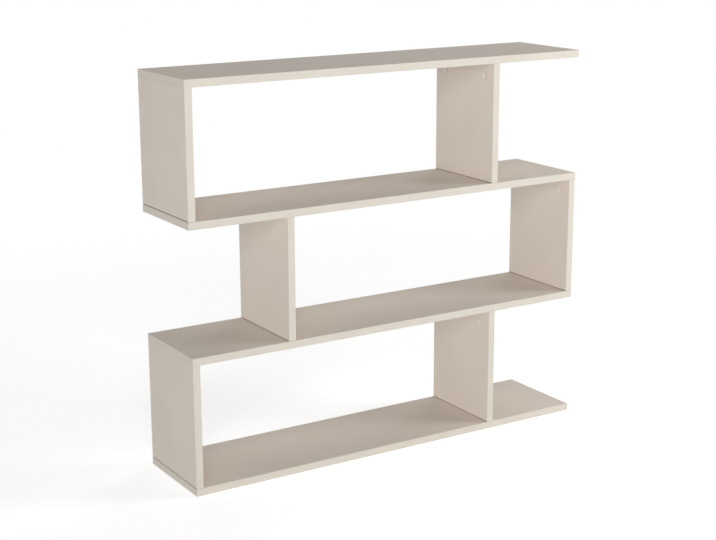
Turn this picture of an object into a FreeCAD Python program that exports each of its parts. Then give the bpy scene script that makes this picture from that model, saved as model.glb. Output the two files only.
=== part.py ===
import FreeCAD, Part
import math
import os
import Sketcher

# Zigzag bookshelf in millimetres. X runs along the shelves, the front faces -Y and the floor is Z = 0.
# Four full-width shelves are held apart by pairs of uprights, and each pair steps to the other end of
# the unit from the pair below it. Every upright is fixed to the shelf under it with two screws and drawn
# up to the shelf over it with two cam locks, with a dowel between them.

SIZES = {
    # whole unit
    "unit_width": 1100,
    "unit_depth": 242,
    "bay_height": 296,
    "overhang": 250,
    # boards and the strips on their edges
    "board_thickness": 18,
    "edging_thickness": 1,
    "edging_radius": 0.6,
    "edging_gap": 0.5,
    "end_ease": 0.4,
    "reveal_height": 1.5,
    "reveal_depth": 1.2,
    # where the fittings stand, and how freely they fit
    "fitting_setback": 38,
    "fit_clearance": 0.1,
    "bore_end_room": 1,
    "cut_overrun": 2,
    # cam lock
    "cam_drop": 34,
    "cam_bore_diameter": 15,
    "cam_bore_depth": 14,
    "cam_recess": 0.5,
    "chamber_diameter": 10.4,
    "chamber_offset": 1,
    "cross_length": 8,
    "cross_width": 1.6,
    "cross_depth": 2.5,
    # cam bolt
    "bolt_diameter": 6,
    "bolt_bore_diameter": 7,
    "bolt_neck_diameter": 4,
    "bolt_head_length": 4,
    "bolt_thread_length": 11,
    # cover cap
    "cap_diameter": 17,
    "cap_height": 1.5,
    "cap_key_depth": 1.8,
    # dowel
    "dowel_diameter": 8,
    "dowel_length": 30,
    "dowel_in_shelf": 11,
    "dowel_flute_depth": 0.3,
    # screw
    "screw_diameter": 7,
    "screw_length": 50,
    "screw_head_diameter": 10,
    "screw_sink": 0.3,
    "screw_socket_width": 4,
    "screw_socket_depth": 3,
}

SHELVES = ("bottom", "lower", "upper", "top")
TIERS = ("lower", "middle", "upper")
SIDES = ("left", "right")
BORE_SIDES = 12
DOWEL_FLUTES = 8
SOCKET_SIDES = 6
HEAD_DEGREES = 45
NECK_SLOT_DEGREES = 240
HALF_TURN = 180
QUARTER_TURN = 90

# Places and sizes that follow from the sheet
CORE_LENGTH = "(sizes.unit_width - 2 * sizes.edging_thickness)"
CORE_DEPTH = "(sizes.unit_depth - 2 * sizes.edging_thickness)"
HALF_SPAN = "((sizes.unit_width - sizes.overhang - sizes.board_thickness) / 2)"
UPRIGHT_SPACING = f"(2 * {HALF_SPAN})"
UPRIGHT_FACE = f"({HALF_SPAN} - sizes.board_thickness / 2)"
FRONT_ROW = "(sizes.fitting_setback - sizes.unit_depth / 2)"
ROW_SPACING = "(sizes.unit_depth - 2 * sizes.fitting_setback)"
CAM_LEVEL = "(sizes.bay_height - sizes.cam_drop)"
DRUM_RADIUS = "(sizes.cam_bore_diameter / 2 - sizes.fit_clearance)"
BEYOND_DRUM = f"({DRUM_RADIUS} + sizes.cut_overrun)"
HEAD_ROOM = "(sizes.bolt_diameter + 2 * sizes.fit_clearance)"
NECK_ROOM = "(sizes.bolt_neck_diameter + 2 * sizes.fit_clearance)"
SCREW_ROOM = "(sizes.screw_diameter + 2 * sizes.fit_clearance)"
HEAD_SLOPE = f"tan({HEAD_DEGREES})"


def shelf_level(shelf):
    """Height of a shelf's underside, counting shelves from the floor."""
    return f"{shelf} * (sizes.board_thickness + sizes.bay_height)"


def tier_floor(tier):
    """Height of the shelf top that a tier's uprights stand on."""
    return f"({shelf_level(tier)} + sizes.board_thickness)"


def tier_centre(tier):
    """Middle of a tier's closed bay along X: the tiers step left and right by turns."""
    sign = "" if tier % 2 else "-"
    return f"{sign}sizes.overhang / 2"


def make_sheet(doc):
    """Spreadsheet with one named cell for each driving size."""
    sheet = doc.addObject("Spreadsheet::Sheet", "sizes")
    for row, (name, value) in enumerate(SIZES.items(), start=1):
        sheet.set(f"A{row}", name)
        sheet.set(f"B{row}", str(value))
        sheet.setAlias(f"B{row}", name)
    doc.recompute()


def bind(item, expressions):
    """Tie properties of an object to expressions of the sheet's cells."""
    for path, expression in expressions.items():
        item.setExpression(path, expression)


def refresh(body):
    """Recompute a body and what it is made from."""
    body.Document.recompute([body])


def origin_item(body, role):
    """Origin plane or axis of a body."""
    return next(item for item in body.Origin.OriginFeatures if item.Role == role)


def make_body(doc, label):
    """Empty body that will be written under its label."""
    body = doc.addObject("PartDesign::Body", label)
    body.Label = label
    return body


def place(body, x, y, z, yaw=0, pitch=0):
    """Turn a body in steps of degrees, and set it at three expressions."""
    body.Placement = FreeCAD.Placement(FreeCAD.Vector(), FreeCAD.Rotation(yaw, pitch, 0))
    bind(body, {"Placement.Base.x": x, "Placement.Base.y": y, "Placement.Base.z": z})


def make_sketch(body, name, plane, x="0", y="0", lift="0"):
    """Sketch on an origin plane, with its own origin moved in the plane and lifted off it."""
    sketch = body.newObject("Sketcher::SketchObject", name)
    sketch.AttachmentSupport = (origin_item(body, plane), [""])
    sketch.MapMode = "FlatFace"
    offset = "AttachmentOffset.Base"
    bind(sketch, {f"{offset}.x": x, f"{offset}.y": y, f"{offset}.z": lift})
    return sketch


def fix_point(sketch, name, geometry, point, x, y):
    """Hold a point of a sketch at two expressions, measured from the sketch's origin."""
    for axis, place_on_axis in (("X", x), ("Y", y)):
        index = sketch.addConstraint(Sketcher.Constraint("Distance" + axis, -1, 1, geometry, point, 1))
        sketch.renameConstraint(index, name + axis)
        sketch.setExpression(f"Constraints.{name}{axis}", place_on_axis)


def draw_outline(sketch, corners):
    """Closed outline of straight lines through corners given as pairs of expressions."""
    count = len(corners)
    turn = 2 * math.pi / count
    ring = [FreeCAD.Vector(math.cos(i * turn), math.sin(i * turn), 0) for i in range(count)]
    for i in range(count):
        sketch.addGeometry(Part.LineSegment(ring[i], ring[(i + 1) % count]))
    for i, (x, y) in enumerate(corners):
        sketch.addConstraint(Sketcher.Constraint("Coincident", i - 1 if i else count - 1, 2, i, 1))
        fix_point(sketch, f"corner{i}", i, 1, x, y)


def draw_rectangle(sketch, left, right, bottom, top):
    """Rectangle with its sides at four expressions."""
    draw_outline(sketch, [(left, bottom), (right, bottom), (right, top), (left, top)])


def draw_polygon(sketch, radii, count):
    """Regular outline whose corners take the given radii by turns."""
    corners = []
    for i in range(count):
        angle = f"{i} * 360 / {count}"
        radius = radii[i % len(radii)]
        corners.append((f"{radius} * cos({angle})", f"{radius} * sin({angle})"))
    draw_outline(sketch, corners)


def add_feature(body, kind, name, sketch, expressions):
    """Feature that pads, turns or cuts a sketch; its sizes are expressions."""
    feature = body.newObject(f"PartDesign::{kind}", name)
    feature.Profile = sketch
    bind(feature, expressions)
    return feature


def add_pad(body, sketch, length, midplane=False, taper=0):
    """Pad of a sketch along its normal, or to both sides of it."""
    pad = add_feature(body, "Pad", sketch.Name + "_pad", sketch, {"Length": length})
    pad.Midplane = midplane
    pad.TaperAngle = taper
    refresh(body)
    return pad


def must_cut(body, feature, before):
    """Stop if a cut left the volume as it was."""
    refresh(body)
    if feature.Shape.Volume >= before:
        raise RuntimeError(f"{feature.Label} cuts nothing")
    return feature


def add_pocket(body, sketch, depth, along_normal=False, midplane=False, taper=0):
    """Cut a sketch into the body, against its normal, along it or to both sides of it."""
    before = body.Shape.Volume
    pocket = add_feature(body, "Pocket", sketch.Name + "_cut", sketch, {"Length": depth})
    pocket.Reversed = along_normal
    pocket.Midplane = midplane
    pocket.TaperAngle = taper
    return must_cut(body, pocket, before)


def add_prism(body, kind, name, plane, x, y, lift, radius, length, sides):
    """Prism that starts on an origin plane, moved in the plane and lifted off it."""
    prism = body.newObject(f"PartDesign::{kind}Prism", f"{body.Label}_{name}")
    prism.AttachmentSupport = (origin_item(body, plane), [""])
    prism.MapMode = "FlatFace"
    prism.Polygon = sides
    offset = "AttachmentOffset.Base"
    bind(prism, {f"{offset}.x": x, f"{offset}.y": y, f"{offset}.z": lift})
    bind(prism, {"Circumradius": radius, "Height": length})
    return prism


def corners_on(diameter):
    """Corner radius of round stock drawn in a few flats, with its corners on the true diameter."""
    return f"({diameter} / 2)"


def flats_on(diameter, sides=BORE_SIDES):
    """Corner radius of a bore drawn in a few flats, with its flats on the true diameter."""
    return f"({diameter} / 2 / cos(180 / {sides}))"


def add_rod(body, name, plane, x, y, lift, diameter, length):
    """Hidden round stock in a few flats."""
    add_prism(body, "Additive", name, plane, x, y, lift, corners_on(diameter), length, BORE_SIDES)
    refresh(body)


def add_bore(body, name, plane, x, y, lift, radius, length, sides=BORE_SIDES):
    """Hidden bore in a few flats."""
    before = body.Shape.Volume
    bore = add_prism(body, "Subtractive", name, plane, x, y, lift, radius, length, sides)
    return must_cut(body, bore, before)


def repeat_cut(body, cut, steps):
    """Repeat a cut once along one or two origin axes, each with the step to take along it."""
    before = body.Shape.Volume
    pattern = body.newObject("PartDesign::LinearPattern", cut.Name + "_repeat")
    pattern.Originals = [cut]
    for suffix, (axis, step) in zip(("", "2"), steps.items()):
        setattr(pattern, "Direction" + suffix, (origin_item(body, axis), [""]))
        setattr(pattern, "Occurrences" + suffix, 2)
        pattern.setExpression("Length" + suffix, step)
    body.Tip = pattern
    must_cut(body, pattern, before)


def add_turning(body, sketch, axis):
    """Solid of revolution of a sketch about its own horizontal or vertical axis."""
    turning = body.newObject("PartDesign::Revolution", sketch.Name + "_turning")
    turning.Profile = sketch
    turning.ReferenceAxis = (sketch, [axis])
    turning.Angle = 2 * HALF_TURN
    refresh(body)
    return turning


def repeat_in_tier(body, in_rows=True):
    """Repeat one fitting of a front row in the rear row, then turn the pair round to the other upright."""
    body.AllowCompound = True
    if in_rows:
        rows = body.newObject("PartDesign::LinearPattern", body.Label + "_rows")
        rows.TransformMode = "Whole shape"
        rows.Direction = (origin_item(body, "Y_Axis"), [""])
        rows.Occurrences = 2
        rows.setExpression("Length", ROW_SPACING)
        body.Tip = rows
        refresh(body)
    sides = body.newObject("PartDesign::PolarPattern", body.Label + "_sides")
    sides.TransformMode = "Whole shape"
    sides.Axis = (origin_item(body, "Z_Axis"), [""])
    sides.Angle = 2 * HALF_TURN
    sides.Occurrences = 2
    body.Tip = sides
    refresh(body)


def ease_edges(body, feature, kind, name, size_property, size, chosen):
    """Fillet or chamfer the edges of a feature whose middles pass a test."""
    edges = [
        f"Edge{i}"
        for i, edge in enumerate(feature.Shape.Edges, start=1)
        if chosen(edge.CenterOfMass)
    ]
    easing = body.newObject(f"PartDesign::{kind}", name)
    easing.Base = (feature, edges)
    easing.setExpression(size_property, size)
    refresh(body)
    return easing


def shelf(doc, index):
    """Full-width board, drilled for the tier it stands on and for the tier that stands on it."""
    body = make_body(doc, f"{SHELVES[index]}_shelf")
    outline = make_sketch(body, body.Label + "_outline", "XY_Plane")
    half_length = f"{CORE_LENGTH} / 2"
    half_depth = f"{CORE_DEPTH} / 2"
    draw_rectangle(outline, f"-{half_length}", half_length, f"-{half_depth}", half_depth)
    add_pad(body, outline, "sizes.board_thickness")
    if index > 0:
        drill_underside(body, index - 1)
    if index < len(TIERS):
        drill_through(body, index)
    place(body, "0", "0", shelf_level(index))
    return body


def upright_places(tier):
    """Middle planes of a tier's left and right uprights along X."""
    return (f"{tier_centre(tier)} - {HALF_SPAN}", f"{tier_centre(tier)} + {HALF_SPAN}")


def drill_underside(body, tier):
    """Blind holes that the cam bolts and dowels of the tier below grip in."""
    x = upright_places(tier)[0]
    thread = corners_on("sizes.bolt_diameter")
    depth = "sizes.bolt_thread_length + sizes.bore_end_room"
    bolt = add_bore(body, "bolt_hole", "XY_Plane", x, FRONT_ROW, "0", thread, depth)
    repeat_cut(body, bolt, {"X_Axis": UPRIGHT_SPACING, "Y_Axis": ROW_SPACING})
    depth = "sizes.dowel_in_shelf + sizes.bore_end_room"
    dowel = add_bore(body, "dowel_hole", "XY_Plane", x, "0", "0", flats_on("sizes.dowel_diameter"), depth)
    repeat_cut(body, dowel, {"X_Axis": UPRIGHT_SPACING})


def drill_through(body, tier):
    """Clearance holes for the screws of the tier above, countersunk from beneath to seat their heads."""
    x = upright_places(tier)[0]
    spread = {"X_Axis": UPRIGHT_SPACING, "Y_Axis": ROW_SPACING}
    depth = "sizes.board_thickness"
    hole = add_bore(body, "screw_hole", "XY_Plane", x, FRONT_ROW, "0", flats_on(SCREW_ROOM), depth)
    repeat_cut(body, hole, spread)
    mouth = make_sketch(body, body.Label + "_screw_sink", "XY_Plane", x, FRONT_ROW)
    flat = f"(sizes.screw_head_diameter / 2 * cos(180 / {BORE_SIDES}) + sizes.screw_sink * {HEAD_SLOPE})"
    draw_polygon(mouth, (flats_on(f"2 * {flat}"),), BORE_SIDES)
    depth = f"({flat} - {SCREW_ROOM} / 2) / {HEAD_SLOPE}"
    sink = add_pocket(body, mouth, depth, along_normal=True, taper=-HEAD_DEGREES)
    repeat_cut(body, sink, spread)


def upright(doc, tier, side):
    """Board between two shelves. Its drilled face looks into the closed bay.

    Its foot is set back from both faces, so that a thin shadow line shows over the shelf it stands on.
    """
    body = make_body(doc, f"{TIERS[tier]}_{side}_upright")
    reveal = "sizes.reveal_height"
    add_stretch(body, "foot", "(sizes.board_thickness / 2 - sizes.reveal_depth)", "0", reveal)
    blank = add_stretch(body, "blank", "sizes.board_thickness / 2", reveal, f"sizes.bay_height - {reveal}")
    ease_upper_end(body, blank)
    drill_upright(body)
    left, right = upright_places(tier)
    if side == "left":
        place(body, left, "0", tier_floor(tier), yaw=HALF_TURN)
    else:
        place(body, right, "0", tier_floor(tier))
    return body


def add_stretch(body, name, half_board, foot, length):
    """Part of an upright's height, from its foot up, as thick as twice the half given."""
    outline = make_sketch(body, f"{body.Label}_{name}", "XY_Plane", "0", "0", foot)
    half_depth = f"{CORE_DEPTH} / 2"
    draw_rectangle(outline, f"-{half_board}", half_board, f"-{half_depth}", half_depth)
    return add_pad(body, outline, length)


def ease_upper_end(body, feature):
    """Break the two long arrises at the upper end of an upright."""
    box = feature.Shape.BoundBox

    def on_arris(middle):
        near = feature.Shape.getTolerance(1)
        return abs(middle.z - box.ZMax) < near and abs(abs(middle.x) - box.XMax) < near

    ease_edges(body, feature, "Chamfer", body.Label + "_ease", "Size", "sizes.end_ease", on_arris)


def drill_upright(body):
    """Cam bores in the face, bolt and dowel bores in the upper end, screw bores in the lower end."""
    face = "-sizes.board_thickness / 2"
    cam = flats_on("sizes.cam_bore_diameter")
    bolt = flats_on("sizes.bolt_bore_diameter")
    thread = corners_on("sizes.screw_diameter")
    dowel = flats_on("sizes.dowel_diameter")
    screw_depth = "sizes.screw_length + sizes.screw_sink - sizes.board_thickness + sizes.bore_end_room"
    dowel_depth = "(sizes.dowel_length - sizes.dowel_in_shelf + sizes.bore_end_room)"
    dowel_floor = f"sizes.bay_height - {dowel_depth}"
    bores = [
        ("cam_bore", "YZ_Plane", FRONT_ROW, CAM_LEVEL, face, cam, "sizes.cam_bore_depth"),
        ("bolt_bore", "XY_Plane", "0", FRONT_ROW, CAM_LEVEL, bolt, "sizes.cam_drop"),
        ("screw_bore", "XY_Plane", "0", FRONT_ROW, "0", thread, screw_depth),
    ]
    for bore in bores:
        repeat_cut(body, add_bore(body, *bore), {"Y_Axis": ROW_SPACING})
    add_bore(body, "dowel_bore", "XY_Plane", "0", "0", dowel_floor, dowel, dowel_depth)


def edging(doc, label, length, x, y, z, yaw=0, pitch=0):
    """Strip as tall as a board is thick, facing -Y before it is turned, with rounded outer arrises."""
    body = make_body(doc, label)
    section = make_sketch(body, label + "_section", "YZ_Plane")
    half_board = "sizes.board_thickness / 2"
    draw_rectangle(section, "-sizes.edging_thickness", "0", f"-{half_board}", half_board)
    strip = add_pad(body, section, length, midplane=True)
    box = strip.Shape.BoundBox

    def on_arris(middle):
        near = strip.Shape.getTolerance(1)
        return abs(middle.y - box.YMin) < near and abs(middle.x) < near

    ease_edges(body, strip, "Fillet", label + "_arris", "Radius", "sizes.edging_radius", on_arris)
    place(body, x, y, z, yaw, pitch)
    return body


def shelf_edgings(doc, index):
    """Strips on the four edges of a shelf: the front and rear ones run over the ends of the other two."""
    name = f"{SHELVES[index]}_shelf"
    middle = f"{shelf_level(index)} + sizes.board_thickness / 2"
    reach_x = f"{CORE_LENGTH} / 2"
    reach_y = f"{CORE_DEPTH} / 2"
    return [
        edging(doc, f"{name}_front_edging", "sizes.unit_width", "0", f"-{reach_y}", middle),
        edging(doc, f"{name}_rear_edging", "sizes.unit_width", "0", reach_y, middle, HALF_TURN),
        edging(doc, f"{name}_left_edging", CORE_DEPTH, f"-{reach_x}", "0", middle, -QUARTER_TURN),
        edging(doc, f"{name}_right_edging", CORE_DEPTH, reach_x, "0", middle, QUARTER_TURN),
    ]


def upright_edgings(doc, tier, side):
    """Strips on the front and rear edges of an upright, hanging just clear of the shelf below."""
    name = f"{TIERS[tier]}_{side}_upright"
    left, right = upright_places(tier)
    x = left if side == "left" else right
    middle = f"{tier_floor(tier)} + (sizes.bay_height + sizes.edging_gap) / 2"
    reach_y = f"{CORE_DEPTH} / 2"
    length = "sizes.bay_height - sizes.edging_gap"
    return [
        edging(doc, f"{name}_front_edging", length, x, f"-{reach_y}", middle, 0, QUARTER_TURN),
        edging(doc, f"{name}_rear_edging", length, x, reach_y, middle, HALF_TURN, QUARTER_TURN),
    ]


def place_in_tier(body, tier):
    """Set a group of fittings, drawn about the middle of its bay, on the floor of its tier."""
    place(body, tier_centre(tier), "0", tier_floor(tier))


def cam_locks(doc, tier):
    """Drums seated in the bores of the uprights, shown locked with their mouths turned down."""
    body = make_body(doc, f"{TIERS[tier]}_cam_locks")
    top = f"{UPRIGHT_FACE} + sizes.cam_recess"
    length = "sizes.cam_bore_depth - sizes.cam_recess"
    add_rod(body, "drum", "YZ_Plane", FRONT_ROW, CAM_LEVEL, top, f"2 * {DRUM_RADIUS}", length)
    cut_chamber(body)
    cut_neck_slot(body)
    cut_cross(body, top)
    repeat_in_tier(body)
    place_in_tier(body, tier)
    return body


def cut_chamber(body):
    """Eccentric chamber that draws the bolt head in, and the mouth that the head comes in by."""
    level = f"{CAM_LEVEL} - sizes.chamber_offset"
    start = f"{HALF_SPAN} - {HEAD_ROOM} / 2"
    radius = flats_on("sizes.chamber_diameter")
    add_bore(body, "chamber", "YZ_Plane", FRONT_ROW, level, start, radius, HEAD_ROOM)
    mouth = make_sketch(body, body.Label + "_mouth", "YZ_Plane", FRONT_ROW, CAM_LEVEL, HALF_SPAN)
    draw_rectangle(mouth, f"-{HEAD_ROOM} / 2", f"{HEAD_ROOM} / 2", f"-{BEYOND_DRUM}", "0")
    add_pocket(body, mouth, HEAD_ROOM, midplane=True)


def cut_neck_slot(body):
    """Slot that the neck of the bolt passes along as the drum turns."""
    before = body.Shape.Volume
    slot = make_sketch(body, body.Label + "_neck_slot", "XY_Plane", HALF_SPAN, FRONT_ROW, CAM_LEVEL)
    draw_rectangle(slot, f"-{NECK_ROOM} / 2", f"{NECK_ROOM} / 2", f"-{BEYOND_DRUM}", "0")
    groove = body.newObject("PartDesign::Groove", body.Label + "_neck_groove")
    groove.Profile = slot
    groove.ReferenceAxis = (slot, ["H_Axis"])
    groove.Angle = NECK_SLOT_DEGREES
    groove.Midplane = True
    must_cut(body, groove, before)


def cut_cross(body, top):
    """Cross recess for the driver in the end of the drum."""
    blade = make_sketch(body, body.Label + "_cross", "YZ_Plane", FRONT_ROW, CAM_LEVEL, top)
    half_length = "sizes.cross_length / 2"
    half_width = "sizes.cross_width / 2"
    draw_rectangle(blade, f"-{half_length}", half_length, f"-{half_width}", half_width)
    slit = add_pocket(body, blade, "sizes.cross_depth", along_normal=True)
    cross = body.newObject("PartDesign::PolarPattern", body.Label + "_cross_pair")
    cross.Originals = [slit]
    cross.Axis = (blade, ["N_Axis"])
    cross.Angle = QUARTER_TURN
    cross.Occurrences = 2
    body.Tip = cross
    refresh(body)


def chamber_reach(diameter):
    """Height over the drum's axis at which a round of this diameter meets the chamber's roof."""
    slope = f"(sizes.chamber_diameter / 2) ^ 2 - ({diameter} / 2) ^ 2"
    return f"(sqrt({slope}) - sizes.chamber_offset - sizes.fit_clearance)"


def cam_bolts(doc, tier):
    """Bolts screwed into the shelf above, each with its waisted head caught in a cam lock."""
    body = make_body(doc, f"{TIERS[tier]}_cam_bolts")
    shoulder = f"({CAM_LEVEL} + {chamber_reach('sizes.bolt_diameter')})"
    waist = f"({CAM_LEVEL} + sizes.cam_bore_diameter / 2)"
    tip = "(sizes.bay_height + sizes.bolt_thread_length)"
    stretches = [
        ("head", "sizes.bolt_diameter", f"{shoulder} - sizes.bolt_head_length", shoulder),
        ("neck", "sizes.bolt_neck_diameter", shoulder, waist),
        ("shank", "sizes.bolt_diameter", waist, tip),
    ]
    for name, diameter, foot, top in stretches:
        add_rod(body, name, "XY_Plane", HALF_SPAN, FRONT_ROW, foot, diameter, f"{top} - ({foot})")
    repeat_in_tier(body)
    place_in_tier(body, tier)
    return body


def cam_caps(doc, tier):
    """Low round caps over the cam locks, each keyed into the cross recess behind it."""
    body = make_body(doc, f"{TIERS[tier]}_cam_caps")
    name = body.Label + "_profile"
    profile = make_sketch(body, name, "XZ_Plane", UPRIGHT_FACE, CAM_LEVEL, f"-{FRONT_ROW}")
    draw_rectangle(profile, "-sizes.cap_height", "0", "0", "sizes.cap_diameter / 2")
    add_turning(body, profile, "H_Axis")
    key = make_sketch(body, body.Label + "_key", "YZ_Plane", FRONT_ROW, CAM_LEVEL, UPRIGHT_FACE)
    half_length = "(sizes.cross_length / 2 - sizes.fit_clearance)"
    half_width = "(sizes.cross_width / 2 - sizes.fit_clearance)"
    draw_rectangle(key, f"-{half_length}", half_length, f"-{half_width}", half_width)
    add_pad(body, key, "sizes.cam_recess + sizes.cap_key_depth")
    repeat_in_tier(body)
    place_in_tier(body, tier)
    return body


def dowels(doc, tier):
    """Fluted wooden dowels midway between the cam locks, from the upright into the shelf above."""
    body = make_body(doc, f"{TIERS[tier]}_dowels")
    foot = "sizes.bay_height + sizes.dowel_in_shelf - sizes.dowel_length"
    section = make_sketch(body, body.Label + "_section", "XY_Plane", HALF_SPAN, "0", foot)
    crest = "sizes.dowel_diameter / 2"
    root = "(sizes.dowel_diameter / 2 - sizes.dowel_flute_depth)"
    draw_polygon(section, (crest, root), 2 * DOWEL_FLUTES)
    add_pad(body, section, "sizes.dowel_length")
    repeat_in_tier(body, in_rows=False)
    place_in_tier(body, tier)
    return body


def screws(doc, tier):
    """Countersunk socket screws from beneath the shelf into the lower ends of the uprights."""
    body = make_body(doc, f"{TIERS[tier]}_screws")
    head_level = "(sizes.screw_sink - sizes.board_thickness)"
    shank = "sizes.screw_diameter"
    add_rod(body, "shank", "XY_Plane", HALF_SPAN, FRONT_ROW, head_level, shank, "sizes.screw_length")
    head = make_sketch(body, body.Label + "_head", "XY_Plane", HALF_SPAN, FRONT_ROW, head_level)
    draw_polygon(head, (corners_on("sizes.screw_head_diameter"),), BORE_SIDES)
    head_length = f"(sizes.screw_head_diameter - sizes.screw_diameter) / 2 / {HEAD_SLOPE}"
    add_pad(body, head, head_length, taper=-HEAD_DEGREES)
    socket = flats_on("sizes.screw_socket_width", SOCKET_SIDES)
    depth = "sizes.screw_socket_depth"
    add_bore(body, "socket", "XY_Plane", HALF_SPAN, FRONT_ROW, head_level, socket, depth, SOCKET_SIDES)
    repeat_in_tier(body)
    place_in_tier(body, tier)
    return body


def build(doc):
    """Every piece of the bookshelf, from the floor up."""
    pieces = []
    for index in range(len(SHELVES)):
        pieces.append(shelf(doc, index))
        pieces.extend(shelf_edgings(doc, index))
    for tier in range(len(TIERS)):
        for side in SIDES:
            pieces.append(upright(doc, tier, side))
            pieces.extend(upright_edgings(doc, tier, side))
        for fitting in (cam_locks, cam_bolts, cam_caps, dowels, screws):
            pieces.append(fitting(doc, tier))
    return pieces


def check(doc, pieces):
    """Stop if any object of the document failed or any piece is not a sound solid."""
    doc.recompute()
    for item in doc.Objects:
        if "Invalid" in item.State or "Error" in item.State:
            raise RuntimeError(f"{item.Label} failed: {item.State}")
    for piece in pieces:
        if piece.Shape.isNull() or not piece.Shape.isValid() or not piece.Shape.Solids:
            raise RuntimeError(f"{piece.Label} is not a sound solid")


def write(pieces):
    """Write each piece to its own file."""
    os.makedirs("parts", exist_ok=True)
    for piece in pieces:
        piece.Shape.exportStep(f"parts/{piece.Label}.step")


document = FreeCAD.newDocument("zigzag_bookshelf")
make_sheet(document)
bookshelf = build(document)
check(document, bookshelf)
write(bookshelf)
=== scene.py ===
"""Zigzag bookshelf: finishes, cover caps, screws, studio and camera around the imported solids."""

import logging
import math
from dataclasses import dataclass, field
from enum import Enum
from typing import Any, ClassVar, Iterable, Mapping

import bmesh
import bpy
from mathutils import Matrix, Vector


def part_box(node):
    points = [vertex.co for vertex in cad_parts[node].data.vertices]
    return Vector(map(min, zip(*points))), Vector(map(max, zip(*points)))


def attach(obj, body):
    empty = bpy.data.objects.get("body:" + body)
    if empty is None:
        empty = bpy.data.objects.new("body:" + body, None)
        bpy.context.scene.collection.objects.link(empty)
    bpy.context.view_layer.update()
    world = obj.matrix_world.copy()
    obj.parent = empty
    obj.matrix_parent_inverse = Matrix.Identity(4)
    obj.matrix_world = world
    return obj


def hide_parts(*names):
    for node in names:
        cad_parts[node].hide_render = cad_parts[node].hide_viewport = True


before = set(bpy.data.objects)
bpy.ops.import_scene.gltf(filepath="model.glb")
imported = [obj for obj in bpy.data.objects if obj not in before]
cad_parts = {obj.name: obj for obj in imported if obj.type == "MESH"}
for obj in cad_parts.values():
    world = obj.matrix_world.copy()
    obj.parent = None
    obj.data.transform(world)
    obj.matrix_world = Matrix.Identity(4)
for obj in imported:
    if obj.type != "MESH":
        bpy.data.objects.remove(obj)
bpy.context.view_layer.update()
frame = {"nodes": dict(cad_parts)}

log = logging.getLogger("bookshelf")

Colour = tuple[float, float, float]
Point = tuple[float, float, float]
Span = tuple[float, float]
Socket = bpy.types.NodeSocket

ROOT = "root"
IMAGE_WIDTH = 716
MM = 0.001
QUARTER_TURN = 0.5 * math.pi
FULL_TURN = 2.0 * math.pi
SHARP_ANGLE = math.radians(35.0)
NONE_TO_ALL: Span = (0.0, 1.0)
ALL_TO_NONE: Span = (1.0, 0.0)
WHITE: Colour = (1.0, 1.0, 1.0)
# Colour of the painted shade in narrow joints.
JOINT_PAINTED_SHADE: Colour = (0.100, 0.075, 0.055)
JOINT_REACH = 2.0 * MM


class Tier(Enum):
    """Storeys of the bookshelf, from the floor up."""

    LOWER = "lower"
    MIDDLE = "middle"
    UPPER = "upper"


class Side(Enum):
    """Ends of a tier, with the way that its upright's drilled face looks along X."""

    LEFT = ("left", 1.0)
    RIGHT = ("right", -1.0)

    @property
    def word(self) -> str:
        """Name of the side as it stands in node names."""
        return self.value[0]

    @property
    def inward(self) -> float:
        """Sign of the direction along X into the closed bay."""
        return self.value[1]


class Run(Enum):
    """Way that fine lines run on a face, as stretches along X, Y and Z."""

    ALONG = (0.12, 1.0, 1.0)
    UPWARD = (1.0, 1.0, 0.12)
    EVEN = (1.0, 1.0, 1.0)


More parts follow.
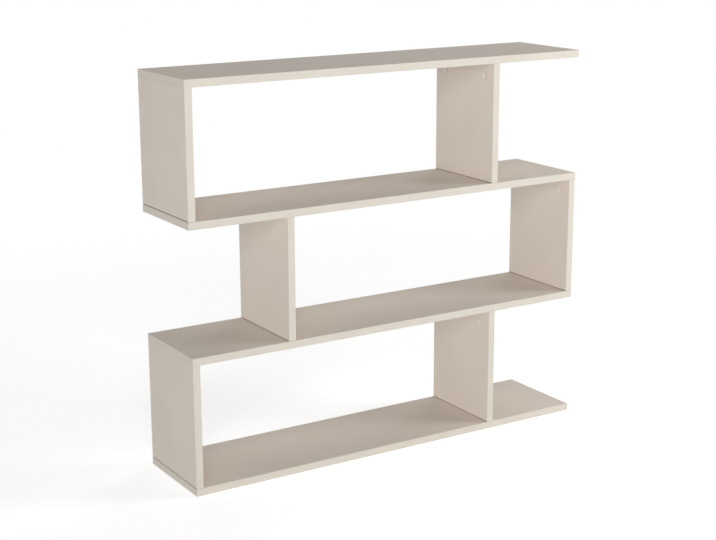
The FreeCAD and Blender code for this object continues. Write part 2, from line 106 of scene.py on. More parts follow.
class Graph:
    """Adds nodes to a node tree and joins them."""

    MIX_FIRST: ClassVar[int] = 6
    MIX_SECOND: ClassVar[int] = 7
    MIX_RESULT: ClassVar[int] = 2

    def __init__(self, tree: bpy.types.NodeTree) -> None:
        """Keep the tree.

        Args:
            tree: node tree that takes the nodes.
        """
        self.tree = tree

    @classmethod
    def emptied(cls, owner: bpy.types.Material | bpy.types.World) -> "Graph":
        """Start a graph in a material or world without its first nodes.

        Args:
            owner: material or world that has the node tree.

        Returns:
            The graph of the empty tree.
        """
        owner.use_nodes = True
        owner.node_tree.nodes.clear()
        return cls(owner.node_tree)

    def feed(self, node: bpy.types.Node, inputs: Mapping[Any, Any]) -> None:
        """Set or join inputs of a node.

        Args:
            node: node to feed.
            inputs: values or sockets for the node's inputs, by name or number.
        """
        for key, value in inputs.items():
            if isinstance(value, Socket):
                self.tree.links.new(value, node.inputs[key])
            else:
                node.inputs[key].default_value = value

    def add(self, kind: str, inputs: Mapping[Any, Any] | None = None, **settings: Any) -> bpy.types.Node:
        """Add a node.

        Args:
            kind: Blender's name for the node type.
            inputs: values or sockets for the node's inputs, by name or number.
            settings: properties of the node.

        Returns:
            The new node.
        """
        node = self.tree.nodes.new(kind)
        for name, value in settings.items():
            setattr(node, name, value)
        self.feed(node, inputs or {})
        return node

    def math(self, operation: str, first: Any, second: Any = 0.0) -> Socket:
        """Add a sum, product or other step on numbers.

        Args:
            operation: name of the Math node's operation.
            first: first value or socket.
            second: second value or socket.

        Returns:
            The result's socket.
        """
        return self.add("ShaderNodeMath", {0: first, 1: second}, operation=operation).outputs[0]

    def remap(self, value: Socket, span: Span, to: Span = NONE_TO_ALL) -> Socket:
        """Map a range of values smoothly onto another.

        Args:
            value: socket to read.
            span: values that become the ends of the new range.
            to: new range.

        Returns:
            The mapped value's socket.
        """
        inputs = {"Value": value, "From Min": span[0], "From Max": span[1], "To Min": to[0], "To Max": to[1]}
        return self.add("ShaderNodeMapRange", inputs, interpolation_type="SMOOTHSTEP").outputs["Result"]

    def mix(self, factor: Any, first: Any, second: Any) -> Socket:
        """Mix two colours.

        Args:
            factor: share of the second colour.
            first: first colour or socket.
            second: second colour or socket.

        Returns:
            The mixed colour's socket.
        """
        inputs = {"Factor": factor, self.MIX_FIRST: first, self.MIX_SECOND: second}
        return self.add("ShaderNodeMix", inputs, data_type="RGBA").outputs[self.MIX_RESULT]

    def noise(self, vector: Socket, scale: Any, detail: float, roughness: float = 0.5) -> Socket:
        """Add a noise texture.

        Args:
            vector: socket with the point on the piece.
            scale: scale of the noise, or a socket with it.
            detail: number of finer layers.
            roughness: weight of the finer layers.

        Returns:
            Socket with the noise's value.
        """
        inputs = {"Vector": vector, "Scale": scale, "Detail": detail, "Roughness": roughness}
        return self.add("ShaderNodeTexNoise", inputs).outputs["Fac"]

    def bump(self, height: Socket, strength: float, depth: float) -> Socket:
        """Add a bump.

        Args:
            height: socket with the height, from 0 to 1.
            strength: share of the bump that shows.
            depth: depth that a height of 1 stands for, in metres.

        Returns:
            Socket with the bumped normal.
        """
        inputs = {"Height": height, "Strength": strength, "Distance": depth}
        return self.add("ShaderNodeBump", inputs).outputs["Normal"]


class Effect:
    """Shader node group that several finishes share, made once and placed with each finish's own values."""

    NAME: ClassVar[str] = "Effect"
    INPUTS: ClassVar[dict[str, str]] = {}
    OUTPUTS: ClassVar[dict[str, str]] = {}

    @classmethod
    def tree(cls) -> bpy.types.NodeTree:
        """Make the group, or find it if it is made already.

        Returns:
            The group's node tree.
        """
        found = bpy.data.node_groups.get(cls.NAME)
        if found:
            return found
        tree = bpy.data.node_groups.new(cls.NAME, "ShaderNodeTree")
        for name, kind in cls.INPUTS.items():
            tree.interface.new_socket(name, in_out="INPUT", socket_type=f"NodeSocket{kind}")
        for name, kind in cls.OUTPUTS.items():
            tree.interface.new_socket(name, in_out="OUTPUT", socket_type=f"NodeSocket{kind}")
        graph = Graph(tree)
        source = graph.add("NodeGroupInput").outputs
        graph.add("NodeGroupOutput", cls.draw(graph, source))
        return tree

    @classmethod
    def draw(cls, graph: Graph, source: Any) -> dict[str, Any]:
        """Draw the inside of the group.

        Args:
            graph: graph of the group's tree.
            source: sockets of the group's inputs.

        Returns:
            Sockets for the group's outputs, by name.
        """
        raise NotImplementedError

    @classmethod
    def place(cls, graph: Graph, **inputs: Any) -> Any:
        """Put the effect in a material.

        Args:
            graph: graph of the material's tree.
            inputs: values or sockets for the group's inputs, with spaces written as underscores.

        Returns:
            The placed group's outputs.
        """
        node = graph.add("ShaderNodeGroup", node_tree=cls.tree())
        graph.feed(node, {name.replace("_", " "): value for name, value in inputs.items()})
        return node.outputs


class CloudyTone(Effect):
    """Slow drift of tone over a face, from one pressing to the next, with a fine speckle in it."""

    NAME = "Cloudy tone"
    INPUTS = {
        "Vector": "Vector",
        "Light": "Color",
        "Deep": "Color",
        "Cloud scale": "Float",
        "Speckle scale": "Float",
    }
    OUTPUTS = {"Color": "Color"}
    CLOUD_DETAIL = 3.0
    CLOUD_ROUGHNESS = 0.55
    CLOUD_SPAN = (0.3, 0.7)
    CLOUD_SHARE = 0.7
    SPECKLE_DETAIL = 2.0
    SPECKLE_ROUGHNESS = 0.7
    SPECKLE_SPAN = (0.35, 0.65)
    SPECKLE_SHARE = 0.3

    @classmethod
    def draw(cls, graph: Graph, source: Any) -> dict[str, Any]:
        """Draw two noises and mix the tones by them; see Effect.draw."""
        point = source["Vector"]
        cloud = graph.noise(point, source["Cloud scale"], cls.CLOUD_DETAIL, cls.CLOUD_ROUGHNESS)
        speckle = graph.noise(point, source["Speckle scale"], cls.SPECKLE_DETAIL, cls.SPECKLE_ROUGHNESS)
        drift = graph.remap(cloud, cls.CLOUD_SPAN, (0.0, cls.CLOUD_SHARE))
        grain = graph.remap(speckle, cls.SPECKLE_SPAN, (0.0, cls.SPECKLE_SHARE))
        blend = graph.math("ADD", drift, grain)
        return {"Color": graph.mix(blend, source["Light"], source["Deep"])}


class PressedTexture(Effect):
    """Fine lines and pits that a press plate or mould leaves in a face."""

    NAME = "Pressed texture"
    INPUTS = {"Vector": "Vector", "Stretch": "Vector", "Line scale": "Float", "Pit scale": "Float"}
    OUTPUTS = {"Height": "Float"}
    LINE_DETAIL = 4.0
    LINE_ROUGHNESS = 0.6
    LINE_SHARE = 0.6
    PIT_SPAN = (0.0, 0.45)
    PIT_SHARE = 0.4

    @classmethod
    def draw(cls, graph: Graph, source: Any) -> dict[str, Any]:
        """Draw stretched noise for the lines and cells for the pits; see Effect.draw."""
        point = source["Vector"]
        stretch = {0: point, 1: source["Stretch"]}
        along = graph.add("ShaderNodeVectorMath", stretch, operation="MULTIPLY").outputs[0]
        lines = graph.noise(along, source["Line scale"], cls.LINE_DETAIL, cls.LINE_ROUGHNESS)
        cells = graph.add("ShaderNodeTexVoronoi", {"Vector": point, "Scale": source["Pit scale"]}).outputs
        pits = graph.remap(cells["Distance"], cls.PIT_SPAN)
        drawn = graph.math("MULTIPLY", lines, cls.LINE_SHARE)
        pitted = graph.math("MULTIPLY", pits, cls.PIT_SHARE)
        return {"Height": graph.math("ADD", drawn, pitted)}


class ArrisTone(Effect):
    """Another tone along the arrises, patchy as rubbing or dust leaves it."""

    NAME = "Arris tone"
    INPUTS = {"Vector": "Vector", "Color": "Color", "Edge": "Color", "Reach": "Float", "Amount": "Float"}
    OUTPUTS = {"Color": "Color"}
    SAMPLES = 4
    LEAN_SPAN = (0.01, 0.2)
    PATCH_SCALE = 60.0
    PATCH_DETAIL = 3.0
    PATCH_SPAN = (0.35, 0.65)
    PATCH_SHARES = (0.2, 1.0)

    @classmethod
    def draw(cls, graph: Graph, source: Any) -> dict[str, Any]:
        """Find arrises by how far a rounded normal leans from the flat one; see Effect.draw."""
        reach = {"Radius": source["Reach"]}
        rounded = graph.add("ShaderNodeBevel", reach, samples=cls.SAMPLES).outputs["Normal"]
        flat = graph.add("ShaderNodeNewGeometry").outputs["True Normal"]
        product = graph.add("ShaderNodeVectorMath", {0: rounded, 1: flat}, operation="DOT_PRODUCT")
        lean = graph.math("SUBTRACT", 1.0, product.outputs["Value"])
        arris = graph.remap(lean, cls.LEAN_SPAN)
        patchy = graph.noise(source["Vector"], cls.PATCH_SCALE, cls.PATCH_DETAIL)
        worn = graph.math("MULTIPLY", arris, graph.remap(patchy, cls.PATCH_SPAN, cls.PATCH_SHARES))
        mask = graph.math("MULTIPLY", worn, source["Amount"])
        return {"Color": graph.mix(mask, source["Color"], source["Edge"])}


class JointShade(Effect):
    """Painted shade in narrow joints: a darker colour where a point is almost closed in."""

    NAME = "Joint shade"
    INPUTS = {"Color": "Color", "Dust": "Color", "Reach": "Float"}
    OUTPUTS = {"Color": "Color"}
    SAMPLES = 8
    OPEN_SPAN = (0.2, 0.55)

    @classmethod
    def draw(cls, graph: Graph, source: Any) -> dict[str, Any]:
        """Paint shade into joints, found by the share of the way out that nothing close by blocks; see
        Effect.draw.
        """
        sky = graph.add("ShaderNodeAmbientOcclusion", {"Distance": source["Reach"]}, samples=cls.SAMPLES)
        closed = graph.remap(sky.outputs["AO"], cls.OPEN_SPAN, ALL_TO_NONE)
        # Painted shade: mix towards the shade colour where the point is closed in.
        return {"Color": graph.mix(closed, source["Color"], source["Dust"])}


class MetalSkin(Effect):
    """Uneven grey of plated or cast metal, with fine tool marks."""

    NAME = "Metal skin"
    INPUTS = {
        "Vector": "Vector",
        "Bright": "Color",
        "Dull": "Color",
        "Patch scale": "Float",
        "Mark scale": "Float",
    }
    OUTPUTS = {"Color": "Color", "Mask": "Float", "Height": "Float"}
    PATCH_DETAIL = 4.0
    PATCH_SPAN = (0.35, 0.65)
    MARK_DISTORTION = 2.0
    MARK_DETAIL = 2.0

    @classmethod
    def draw(cls, graph: Graph, source: Any) -> dict[str, Any]:
        """Draw patches of noise and closely set rings; see Effect.draw."""
        patch = graph.noise(source["Vector"], source["Patch scale"], cls.PATCH_DETAIL)
        rings = {
            "Vector": source["Vector"],
            "Scale": source["Mark scale"],
            "Distortion": cls.MARK_DISTORTION,
            "Detail": cls.MARK_DETAIL,
        }
        marks = graph.add("ShaderNodeTexWave", rings, bands_direction="Z").outputs["Fac"]
        mask = graph.remap(patch, cls.PATCH_SPAN)
        return {"Color": graph.mix(mask, source["Bright"], source["Dull"]), "Mask": mask, "Height": marks}


def opaque(colour: Colour) -> tuple[float, float, float, float]:
    """Colour with full opacity.

    Args:
        colour: red, green and blue, in linear light.

    Returns:
        The same colour with alpha 1.
    """
    return (*colour, 1.0)


@dataclass(frozen=True)
class Tone:
    """Two tones of a surface, and how finely they drift and speckle."""

    light: Colour
    deep: Colour
    cloud_scale: float
    speckle_scale: float

    def draw(self, graph: Graph, place: Socket) -> Socket:
        """Draw the drifting tone.

        Args:
            graph: graph of the material's tree.
            place: socket with the point on the piece.

        Returns:
            Socket with the colour.
        """
        cloudy = CloudyTone.place(
            graph,
            Vector=place,
            Light=opaque(self.light),
            Deep=opaque(self.deep),
            Cloud_scale=self.cloud_scale,
            Speckle_scale=self.speckle_scale,
        )
        return cloudy["Color"]


@dataclass(frozen=True)
class Relief:
    """Fine lines and pits of a surface, with their depth and the roughness from low parts to high ones."""

    line_scale: float
    pit_scale: float
    strength: float
    depth: float
    roughness: Span
    heights: Span = (0.2, 0.8)

    def draw(self, graph: Graph, place: Socket, run: Run) -> dict[str, Socket]:
        """Draw the relief.

        Args:
            graph: graph of the material's tree.
            place: socket with the point on the piece.
            run: way that the lines run.

        Returns:
            Sockets for the shader's inputs, by name.
        """
        pressed = PressedTexture.place(
            graph, Vector=place, Stretch=run.value, Line_scale=self.line_scale, Pit_scale=self.pit_scale
        )
        return {
            "Roughness": graph.remap(pressed["Height"], self.heights, self.roughness),
            "Normal": graph.bump(pressed["Height"], self.strength, self.depth),
        }


@dataclass(frozen=True)
class Finish:
    """Surface of one kind of piece."""

    name: str
    slot: str

    def material(self) -> bpy.types.Material:
        """Make the finish's material, or find it if it is made already.

        Returns:
            The material.
        """
        found = bpy.data.materials.get(self.name)
        if found:
            return found
        material = bpy.data.materials.new(self.name)
        graph = Graph.emptied(material)
        place = graph.add("ShaderNodeTexCoord").outputs["Object"]
        shader = graph.add("ShaderNodeBsdfPrincipled", self.draw(graph, place))
        graph.add("ShaderNodeOutputMaterial", {"Surface": shader.outputs["BSDF"]})
        return material

    def draw(self, graph: Graph, place: Socket) -> dict[str, Any]:
        """Draw the nodes that feed the shader.

        Args:
            graph: graph of the material's tree.
            place: socket with the point on the piece.

        Returns:
            Values or sockets for the Principled shader's inputs, by name.
        """
        raise NotImplementedError

    def dress(self, piece: bpy.types.Object) -> None:
        """Give a piece this finish.

        Args:
            piece: mesh object to dress.
        """
        piece.data.materials.clear()
        piece.data.materials.append(self.material())


@dataclass(frozen=True)
class FacedBoard(Finish):
    """Melamine face of a board: one warm pale grey, pressed with a fine satin texture."""

    run: Run
    tone: Tone = Tone(
        light=(0.797, 0.722, 0.641), deep=(0.759, 0.684, 0.603), cloud_scale=7.0, speckle_scale=420.0
    )
    relief: Relief = Relief(
        line_scale=900.0, pit_scale=1300.0, strength=0.12, depth=0.2 * MM, roughness=(0.58, 0.72)
    )
    specular: float = 0.2

    def draw(self, graph: Graph, place: Socket) -> dict[str, Any]:
        """Draw drifting tone, painted shade in joints and pressed lines; see Finish.draw."""
        skin = self.skin(graph, place, self.tone.draw(graph, place))
        # Painted shade in narrow joints, from how closed in each point is.
        joint = JointShade.place(graph, Color=skin, Dust=opaque(JOINT_PAINTED_SHADE), Reach=JOINT_REACH)
        relief = self.relief.draw(graph, place, self.run)
        return {"Base Color": joint["Color"], "Specular IOR Level": self.specular} | relief

    def skin(self, graph: Graph, place: Socket, face: Socket) -> Socket:
        """Colour of the board, with what shows beside its face.

        Args:
            graph: graph of the material's tree.
            place: socket with the point on the piece.
            face: socket with the face's colour.

        Returns:
            Socket with the colour.
        """
        return face


@dataclass(frozen=True)
class StandingBoard(FacedBoard):
    """Board of an upright, with raw particle board at its set-back foot, darkened as painted shade of the
    gap, and a strip of painted shade above the foot on the flush outer faces.
    """

    storey: float = 314.0 * MM
    foot_top: float = 19.5 * MM
    flush_from: float = 549.0 * MM
    # Extra height of the dark foot on the flush outer faces: a painted shade strip that widens the gap's
    # line.
    chipped: float = 0.45 * MM
    # Raw particle board of the foot, darkened so that it also stands as painted shade of the gap.
    raw: Tone = Tone(
        light=(0.150, 0.110, 0.078), deep=(0.080, 0.058, 0.040), cloud_scale=240.0, speckle_scale=900.0
    )

    def skin(self, graph: Graph, place: Socket, face: Socket) -> Socket:
        """Put darkened raw board, partly painted shade, on the foot of the board in every storey, higher on
        the flush outer faces as a painted shade strip; see FacedBoard.skin.
        """
        point = graph.add("ShaderNodeSeparateXYZ", {0: place}).outputs
        flush = graph.math("GREATER_THAN", graph.math("ABSOLUTE", point["X"]), self.flush_from)
        top = graph.math("ADD", graph.math("MULTIPLY", flush, self.chipped), self.foot_top)
        foot = graph.math("LESS_THAN", graph.math("MODULO", point["Z"], self.storey), top)
        # Raw board darkened with painted shade, up to the foot's top, higher on the flush outer faces.
        return graph.mix(foot, face, self.raw.draw(graph, place))


@dataclass(frozen=True)
class EdgingStrip(Finish):
    """Plastic edging in the board's colour, smoother than its face and rubbed pale at the arrises."""

    tone: Tone = Tone(
        light=(0.746, 0.697, 0.613), deep=(0.718, 0.669, 0.585), cloud_scale=11.0, speckle_scale=600.0
    )
    rubbed: Colour = (0.800, 0.755, 0.675)
    rubbed_reach: float = 0.9 * MM
    rubbed_share: float = 0.6
    relief: Relief = Relief(
        line_scale=700.0, pit_scale=1500.0, strength=0.06, depth=0.2 * MM, roughness=(0.50, 0.62)
    )
    specular: float = 0.25

    def draw(self, graph: Graph, place: Socket) -> dict[str, Any]:
        """Draw drifting tone, rubbed arrises, painted shade in joints and fine lines; see Finish.draw."""
        edge = ArrisTone.place(
            graph,
            Vector=place,
            Color=self.tone.draw(graph, place),
            Edge=opaque(self.rubbed),
            Reach=self.rubbed_reach,
            Amount=self.rubbed_share,
        )
        # Painted shade in narrow joints, from how closed in each point is.
        joint = JointShade.place(graph, Color=edge["Color"], Dust=opaque(JOINT_PAINTED_SHADE), Reach=JOINT_REACH)
        relief = self.relief.draw(graph, place, Run.EVEN)
        return {"Base Color": joint["Color"], "Specular IOR Level": self.specular} | relief


@dataclass(frozen=True)
class MouldedCap(Finish):
    """Moulded plastic of the cover caps, a little lighter than the board, with painted shade round the rim.
    """

    tone: Tone = Tone(
        light=(0.838, 0.771, 0.694), deep=(0.804, 0.736, 0.658), cloud_scale=90.0, speckle_scale=1500.0
    )
    # Colour of the painted shade round the rim.
    dust: Colour = (0.300, 0.250, 0.200)
    dust_span: Span = (0.05, 0.3)
    dust_share: float = 0.75
    relief: Relief = Relief(
        line_scale=1800.0, pit_scale=2600.0, strength=0.15, depth=0.1 * MM, roughness=(0.50, 0.64)
    )
    specular: float = 0.25

    def draw(self, graph: Graph, place: Socket) -> dict[str, Any]:
        """Draw tone, painted shade on the rim's sides and spark-eroded mould texture; see Finish.draw."""
        # Painted shade: darker where the surface turns away from the cap's face, on the rim's sides.
        normal = graph.add("ShaderNodeNewGeometry").outputs["True Normal"]
        across = graph.add("ShaderNodeSeparateXYZ", {0: normal}).outputs["X"]
        turned = graph.math("SUBTRACT", 1.0, graph.math("ABSOLUTE", across))
        rim_shade_mask = graph.remap(turned, self.dust_span, (0.0, self.dust_share))
        colour = graph.mix(rim_shade_mask, self.tone.draw(graph, place), opaque(self.dust))
        relief = self.relief.draw(graph, place, Run.EVEN)
        return {"Base Color": colour, "Specular IOR Level": self.specular} | relief


@dataclass(frozen=True)
class FittingMetal(Finish):
    """Metal of the fittings."""

    bright: Colour
    dull: Colour
    roughness: Span
    mark_scale: float
    patch_scale: float = 220.0
    mark_strength: float = 0.08
    mark_depth: float = 0.1 * MM
    rubbed_reach: float = 0.3 * MM
    rubbed_share: float = 0.8

    def draw(self, graph: Graph, place: Socket) -> dict[str, Any]:
        """Draw patchy grey, tool marks and pale arrises; see Finish.draw."""
        skin = MetalSkin.place(
            graph,
            Vector=place,
            Bright=opaque(self.bright),
            Dull=opaque(self.dull),
            Patch_scale=self.patch_scale,
            Mark_scale=self.mark_scale,
        )
        edge = ArrisTone.place(
            graph,
            Vector=place,
            Color=skin["Color"],
            Edge=opaque(self.bright),
            Reach=self.rubbed_reach,
            Amount=self.rubbed_share,
        )
        return {
            "Base Color": edge["Color"],
            "Metallic": 1.0,
            "Roughness": graph.remap(skin["Mask"], NONE_TO_ALL, self.roughness),
            "Normal": graph.bump(skin["Height"], self.mark_strength, self.mark_depth),
        }


@dataclass(frozen=True)
class DowelBeech(Finish):
    """Raw beech of the dowels, with short flecks along the length."""

    tone: Tone = Tone(
        light=(0.660, 0.490, 0.310), deep=(0.520, 0.350, 0.200), cloud_scale=160.0, speckle_scale=900.0
    )
    flecks: Relief = Relief(
        line_scale=1400.0, pit_scale=900.0, strength=0.3, depth=0.1 * MM, roughness=(0.6, 0.8)
    )

    def draw(self, graph: Graph, place: Socket) -> dict[str, Any]:
        """Draw growth tone and upright flecks; see Finish.draw."""
        return {"Base Color": self.tone.draw(graph, place)} | self.flecks.draw(graph, place, Run.UPWARD)


SHELF_FACE = FacedBoard("shelf_melamine", "faced_board", Run.ALONG)
UPRIGHT_FACE = StandingBoard("upright_melamine", "faced_board", Run.UPWARD)
EDGING = EdgingStrip("edging_plastic", "edging_strip")
CAP_PLASTIC = MouldedCap("cap_plastic", "cover_cap")
CAST_ZINC = FittingMetal(
    "cast_zinc",
    "cast_cam",
    bright=(0.62, 0.62, 0.63),
    dull=(0.45, 0.45, 0.46),
    roughness=(0.42, 0.58),
    mark_scale=500.0,
)
PLATED_STEEL = FittingMetal(
    "plated_steel",
    "fitting_steel",
    bright=(0.72, 0.72, 0.70),
    dull=(0.56, 0.56, 0.54),
    roughness=(0.26, 0.40),
    mark_scale=900.0,
)
BEECH = DowelBeech("dowel_beech", "dowel_wood")


@dataclass(frozen=True)
class Ring:
    """One ring of a turned form: round, oblong, drawn in flats, or crossed by a thread's crest."""

    radius: float
    height: float
    waist: float = 0.0
    flats: int = 0
    crest: float = 0.0
    turns: float = 0.0
    crest_share: ClassVar[float] = 0.5

    def reach(self, angle: float) -> float:
        """Distance from the axis to the ring.

        Args:
            angle: angle about the axis, in radians.

        Returns:
            The distance; flats lie at the ring's radius, and so do a thread's root and an oblong's ends.
        """
        if self.waist:
            return 1.0 / max(abs(math.sin(angle)) / self.radius, abs(math.cos(angle)) / self.waist)
        if self.flats:
            sector = FULL_TURN / self.flats
            return self.radius / math.cos((angle + 0.5 * sector) % sector - 0.5 * sector)
        from_crest = abs((self.turns - angle / FULL_TURN) % 1.0 - 0.5)
        return self.radius + self.crest * max(0.0, 1.0 - from_crest / (0.5 * self.crest_share))

    def points(self, sides: int) -> list[Vector]:
        """Points of the ring.

        Args:
            sides: number of points round the axis.

        Returns:
            The points, or the one point on the axis for a ring without radius.
        """
        if self.radius == 0.0:
            return [Vector((0.0, 0.0, self.height))]
        points = []
        for step in range(sides):
            angle = FULL_TURN * step / sides
            reach = self.reach(angle)
            points.append(Vector((reach * math.cos(angle), reach * math.sin(angle), self.height)))
        return points


def turn(mesh: bmesh.types.BMesh, rings: Iterable[Ring], place: Matrix, sides: int) -> None:
    """Skin rings about a Z axis into a closed form.

    Args:
        mesh: mesh that takes the form.
        rings: rings in their order along the form's section, from axis to axis.
        place: matrix that sets the form in the frame.
        sides: number of points round the axis.
    """
    loops = [[mesh.verts.new(place @ point) for point in ring.points(sides)] for ring in rings]
    for near, far in zip(loops, loops[1:]):
        for step in range(sides):
            after = (step + 1) % sides
            corners = [near[step % len(near)], near[after % len(near)]]
            corners += [far[after % len(far)], far[step % len(far)]]
            face = mesh.faces.new(list(dict.fromkeys(corners)))
            face.smooth = True


def add_object(name: str, data: bpy.types.ID) -> bpy.types.Object:
    """Put an object into the scene.

    Args:
        name: name of the object.
        data: mesh, lamp or camera that it shows.

    Returns:
        The object.
    """
    made = bpy.data.objects.new(name, data)
    bpy.context.scene.collection.objects.link(made)
    return made


def finish_piece(mesh: bmesh.types.BMesh, name: str, finish: Finish, node: str) -> bpy.types.Object:
    """Turn a mesh into a piece that stands for a solid.

    Args:
        mesh: mesh in the frame's metres, which is freed.
        name: name of the piece.
        finish: finish that the piece takes.
        node: node that the piece stands for.

    Returns:
        The piece.
    """
    bmesh.ops.recalc_face_normals(mesh, faces=mesh.faces)
    data = bpy.data.meshes.new(name)
    mesh.to_mesh(data)
    mesh.free()
    data.set_sharp_from_angle(angle=SHARP_ANGLE)
    piece = add_object(name, data)
    finish.dress(piece)
    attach(piece, ROOT)
    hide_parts(node)
    return piece


@dataclass
class BoardSet:
    """Boards of the bookshelf, which keep their solids and get their faces."""

    shelves: tuple[str, ...] = ("bottom", "lower", "upper", "top")

    def dress(self, nodes: Mapping[str, bpy.types.Object]) -> int:
        """Give each board its face.

        Args:
            nodes: solids of the frame by node name.

        Returns:
            Number of boards dressed.
        """
        faces = {f"{shelf}_shelf": SHELF_FACE for shelf in self.shelves}
        faces |= {f"{tier.value}_{side.word}_upright": UPRIGHT_FACE for tier in Tier for side in Side}
        for node, finish in faces.items():
            finish.dress(nodes[node])
        return len(faces)


@dataclass
class EdgingSet:
    """Edging strips on the boards, which keep their solids and get their plastic."""

    ending: str = "_edging"

    def dress(self, nodes: Mapping[str, bpy.types.Object]) -> int:
        """Give each strip its plastic.

        Args:
            nodes: solids of the frame by node name.

        Returns:
            Number of strips dressed.
        """
        strips = [piece for name, piece in nodes.items() if name.endswith(self.ending)]
        for strip in strips:
            EDGING.dress(strip)
        return len(strips)


@dataclass
class HiddenFittings:
    """Fittings inside the boards, which keep their solids and get their metals and wood."""

    finishes: dict[str, Finish] = field(
        default_factory=lambda: {"cam_locks": CAST_ZINC, "cam_bolts": PLATED_STEEL, "dowels": BEECH}
    )

    def dress(self, nodes: Mapping[str, bpy.types.Object]) -> int:
        """Give each group of fittings its finish.

        Args:
            nodes: solids of the frame by node name.

        Returns:
            Number of groups dressed.
        """
        for tier in Tier:
            for word, finish in self.finishes.items():
                finish.dress(nodes[f"{tier.value}_{word}"])
        return len(Tier) * len(self.finishes)


@dataclass
class CoverCaps:
    """Round caps over the cam locks of one tier, each with a lifted rim, a low crown and a key behind."""

    tier: Tier
    height: float = 1.5 * MM
    foot: float = 7.9 * MM
    lift: float = 0.3 * MM
    rounding: float = 0.55 * MM
    crown: float = 0.25 * MM
    key_half_length: float = 3.9 * MM
    key_half_width: float = 0.7 * MM
    key_depth: float = 2.3 * MM
    sides: int = 64
    arc_steps: int = 5

    def rings(self, radius: float) -> list[Ring]:
        """Rings of a cap, from the end of its key to the middle of its crown.

        Args:
            radius: radius of the cap's rim.

        Returns:
            The rings.
        """
        rings = [Ring(0.0, -self.key_depth)]
        for level in (-self.key_depth, 0.0):
            rings.append(Ring(self.key_half_length, level, waist=self.key_half_width))
        rings.append(Ring(self.foot, 0.0))
        rings += [Ring(self.foot + self.lift, self.lift), Ring(radius, self.lift)]
        shoulder = self.height - self.crown
        for step in range(self.arc_steps + 1):
            angle = QUARTER_TURN * step / self.arc_steps
            inset = self.rounding * (1.0 - math.cos(angle))
            rings.append(Ring(radius - inset, shoulder - self.rounding * (1.0 - math.sin(angle))))
        flat = radius - self.rounding
        for step in range(1, self.arc_steps):
            share = step / self.arc_steps
            rise = self.crown * (1.0 - (1.0 - share) ** 2)
            rings.append(Ring(flat * (1.0 - share), shoulder + rise))
        rings.append(Ring(0.0, self.height))
        return rings

    def build(self) -> bpy.types.Object:
        """Make the tier's caps in place of their plain solids.

        Returns:
            The piece with all the tier's caps.
        """
        node = f"{self.tier.value}_cam_caps"
        low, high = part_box(node)
        radius = 0.5 * (high.z - low.z)
        level = 0.5 * (high.z + low.z)
        mesh = bmesh.new()
        for side in Side:
            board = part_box(f"{self.tier.value}_{side.word}_upright")
            face = board[1].x if side is Side.LEFT else board[0].x
            out = Matrix.Rotation(side.inward * QUARTER_TURN, 4, "Y")
            for row in (low.y + radius, high.y - radius):
                place = Matrix.Translation((face, row, level)) @ out
                turn(mesh, self.rings(radius), place, self.sides)
        return finish_piece(mesh, f"{self.tier.value}_cover_caps", CAP_PLASTIC, node)


@dataclass
class SocketScrews:
    """Countersunk screws of one tier, driven up through a shelf into the uprights that stand on it."""

    tier: Tier
    solid_radius: float = 5.0 * MM
    head_radius: float = 4.8 * MM
    shank_radius: float = 3.35 * MM
    root_radius: float = 2.4 * MM
    tip_radius: float = 1.2 * MM
    socket: float = 2.0 * MM
    socket_depth: float = 3.0 * MM
    socket_flats: int = 6
    ease: float = 0.3 * MM
    shank_length: float = 15.0 * MM
    tip_length: float = 3.0 * MM
    pitch: float = 3.0 * MM
    steps: int = 6
    sides: int = 24

    def rings(self, length: float) -> list[Ring]:
        """Rings of a screw, from the floor of its socket round its head to its tip.

        Args:
            length: length of the screw over all.

        Returns:
            The rings.
        """
        flare = self.head_radius - self.shank_radius
        rings = [Ring(0.0, self.socket_depth)]
        for level in (self.socket_depth, self.ease):
            rings.append(Ring(self.socket, level, flats=self.socket_flats))
        rings += [Ring(self.socket + 2.0 * self.ease, 0.0), Ring(self.head_radius - self.ease, 0.0)]
        rings += [Ring(self.head_radius, self.ease), Ring(self.shank_radius, self.ease + flare)]
        rings.append(Ring(self.shank_radius, self.shank_length))
        threaded = length - self.shank_length - self.tip_length
        crest = self.shank_radius - self.root_radius
        for step in range(1, int(threaded / self.pitch * self.steps)):
            height = self.shank_length + step * self.pitch / self.steps
            rings.append(Ring(self.root_radius, height, crest=crest, turns=step / self.steps))
        rings += [Ring(self.root_radius, length - self.tip_length), Ring(self.tip_radius, length)]
        rings.append(Ring(0.0, length))
        return rings

    def build(self) -> bpy.types.Object:
        """Make the tier's screws in place of their plain solids.

        Returns:
            The piece with all the tier's screws.
        """
        node = f"{self.tier.value}_screws"
        low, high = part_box(node)
        mesh = bmesh.new()
        for across in (low.x + self.solid_radius, high.x - self.solid_radius):
            for row in (low.y + self.solid_radius, high.y - self.solid_radius):
                place = Matrix.Translation((across, row, low.z))
                turn(mesh, self.rings(high.z - low.z), place, self.sides)
        return finish_piece(mesh, f"{self.tier.value}_socket_screws", PLATED_STEEL, node)


@dataclass(frozen=True)
class Softbox:
    """Rectangular white lamp that looks at the middle of the bookshelf."""

    name: str
    place: Point
    width: float
    height: float
    power: float
    aim: Point = (0.0, 0.0, 0.48)

    def build(self) -> bpy.types.Object:
        """Make the lamp.

        Returns:
            The lamp's object.
        """
        data = bpy.data.lights.new(self.name, "AREA")
        data.shape = "RECTANGLE"
        data.size = self.width
        data.size_y = self.height
        data.energy = self.power
        lamp = add_object(self.name, data)
        lamp.location = self.place
        lamp.rotation_euler = (Vector(self.aim) - Vector(self.place)).to_track_quat("-Z", "Y").to_euler()
        return lamp


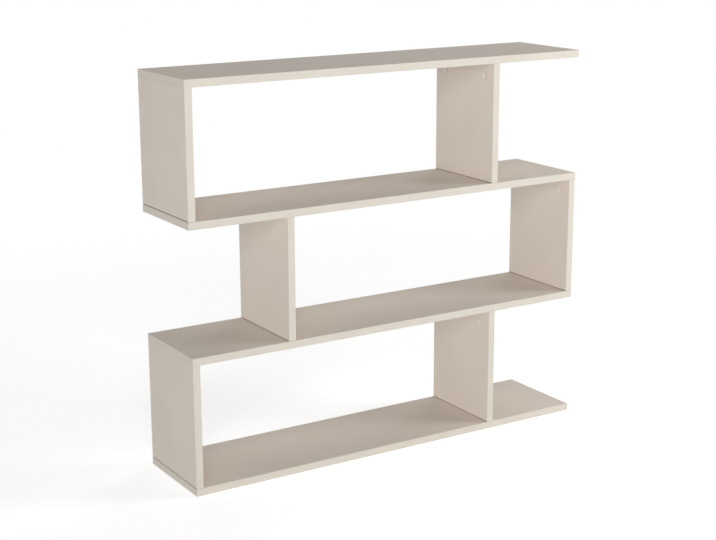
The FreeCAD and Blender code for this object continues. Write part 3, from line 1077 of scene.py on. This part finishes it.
@dataclass
class Studio:
    """Pale floor, white surroundings and soft lamps."""

    ambient: float = 0.14
    floor_colour: Colour = (0.80, 0.80, 0.80)
    floor_lift: float = 0.58
    floor_half: float = 9.0
    clear_span: Span = (1.2, 2.6)
    lamps: tuple[Softbox, ...] = (
        Softbox("left_lamp", (-6.88, -5.77, 1.11), width=3.0, height=2.0, power=284.0),
        Softbox("front_lamp", (-4.17, -7.23, 3.85), width=3.0, height=3.0, power=242.0),
        Softbox("right_lamp", (2.94, -1.70, 1.50), width=1.4, height=1.4, power=56.0),
        Softbox("high_lamp", (4.03, 2.83, 6.78), width=3.0, height=3.0, power=91.0),
        Softbox("rear_lamp", (0.0, 7.92, 1.59), width=3.0, height=3.0, power=75.0),
    )

    def seen(self, graph: Graph) -> Socket:
        """Tell rays that show the surroundings from those that light the object.

        Args:
            graph: graph of the world's or the floor's tree.

        Returns:
            Socket that is 1 for the camera, for mirror images and through glass.
        """
        rays = graph.add("ShaderNodeLightPath").outputs
        mirrored = graph.math("MAXIMUM", rays["Is Glossy Ray"], rays["Is Transmission Ray"])
        return graph.math("MAXIMUM", rays["Is Camera Ray"], mirrored)

    def build_world(self) -> None:
        """Make white surroundings that give a plain, even light."""
        world = bpy.data.worlds.new("studio_world")
        graph = Graph.emptied(world)
        white = {"Color": opaque(WHITE)}
        light = graph.add("ShaderNodeBackground", white | {"Strength": self.ambient}).outputs[0]
        shown = graph.add("ShaderNodeBackground", white | {"Strength": 1.0}).outputs[0]
        mixed = graph.add("ShaderNodeMixShader", {0: self.seen(graph), 1: light, 2: shown}).outputs[0]
        graph.add("ShaderNodeOutputWorld", {"Surface": mixed})
        bpy.context.scene.world = world

    def build_floor(self) -> bpy.types.Object:
        """Make a pale floor that keeps the shadow and runs out into white.

        Returns:
            The floor's object.
        """
        material = bpy.data.materials.new("studio_floor")
        graph = Graph.emptied(material)
        place = graph.add("ShaderNodeTexCoord").outputs["Object"]
        away = graph.add("ShaderNodeVectorMath", {0: place}, operation="LENGTH").outputs["Value"]
        matt = graph.add("ShaderNodeBsdfDiffuse", {"Color": opaque(self.floor_colour)}).outputs[0]
        glow = graph.add("ShaderNodeEmission", {"Strength": self.floor_lift}).outputs[0]
        near = graph.add("ShaderNodeAddShader", {0: matt, 1: glow}).outputs[0]
        white = graph.add("ShaderNodeEmission", {"Strength": 1.0}).outputs[0]
        clear = graph.remap(away, self.clear_span)
        shown = graph.add("ShaderNodeMixShader", {0: clear, 1: near, 2: white}).outputs[0]
        mixed = graph.add("ShaderNodeMixShader", {0: self.seen(graph), 1: matt, 2: shown}).outputs[0]
        graph.add("ShaderNodeOutputMaterial", {"Surface": mixed})
        half = self.floor_half
        data = bpy.data.meshes.new("studio_floor")
        corners = [(-half, -half, 0.0), (half, -half, 0.0), (half, half, 0.0), (-half, half, 0.0)]
        data.from_pydata(corners, [], [(0, 1, 2, 3)])
        data.materials.append(material)
        floor = add_object("studio_floor", data)
        return floor

    def build(self) -> None:
        """Make the surroundings, the floor and the lamps."""
        self.build_world()
        self.build_floor()
        for lamp in self.lamps:
            lamp.build()


@dataclass(frozen=True)
class Viewpoint:
    """Camera at the photograph's place, with its angles in degrees and its focal length in pixels."""

    place: Point = (-1.92918, -3.01850, 1.35606)
    heading: float = 32.1104
    drop: float = 14.3879
    roll: float = -0.1626
    focal: float = 1487.48
    sensor: float = 36.0

    def build(self) -> bpy.types.Object:
        """Make the camera and make it the scene's own.

        Returns:
            The camera's object.
        """
        heading, drop, roll = (math.radians(angle) for angle in (self.heading, self.drop, self.roll))
        level = math.cos(drop)
        ahead = Vector((math.sin(heading) * level, math.cos(heading) * level, -math.sin(drop)))
        right = ahead.cross(Vector((0.0, 0.0, 1.0))).normalized()
        up = right.cross(ahead)
        tilted_right = math.cos(roll) * right + math.sin(roll) * up
        tilted_up = math.cos(roll) * up - math.sin(roll) * right
        turned = Matrix((tilted_right, tilted_up, -ahead)).transposed().to_4x4()
        data = bpy.data.cameras.new("photo_camera")
        data.sensor_width = self.sensor
        data.lens = self.sensor * self.focal / IMAGE_WIDTH
        camera = add_object("photo_camera", data)
        camera.matrix_world = Matrix.Translation(self.place) @ turned
        bpy.context.scene.camera = camera
        return camera


def main() -> None:
    """Build and dress every piece, then light and frame the scene."""
    logging.basicConfig(level=logging.INFO, format="%(message)s")
    nodes = frame["nodes"]
    log.info("boards: %d", BoardSet().dress(nodes))
    log.info("edging strips: %d", EdgingSet().dress(nodes))
    log.info("groups of hidden fittings: %d", HiddenFittings().dress(nodes))
    for tier in Tier:
        log.info("made %s", CoverCaps(tier).build().name)
        log.info("made %s", SocketScrews(tier).build().name)
    Studio().build()
    Viewpoint().build()
    bpy.context.scene.view_settings.view_transform = "Standard"


if __name__ == "__main__":
    main()
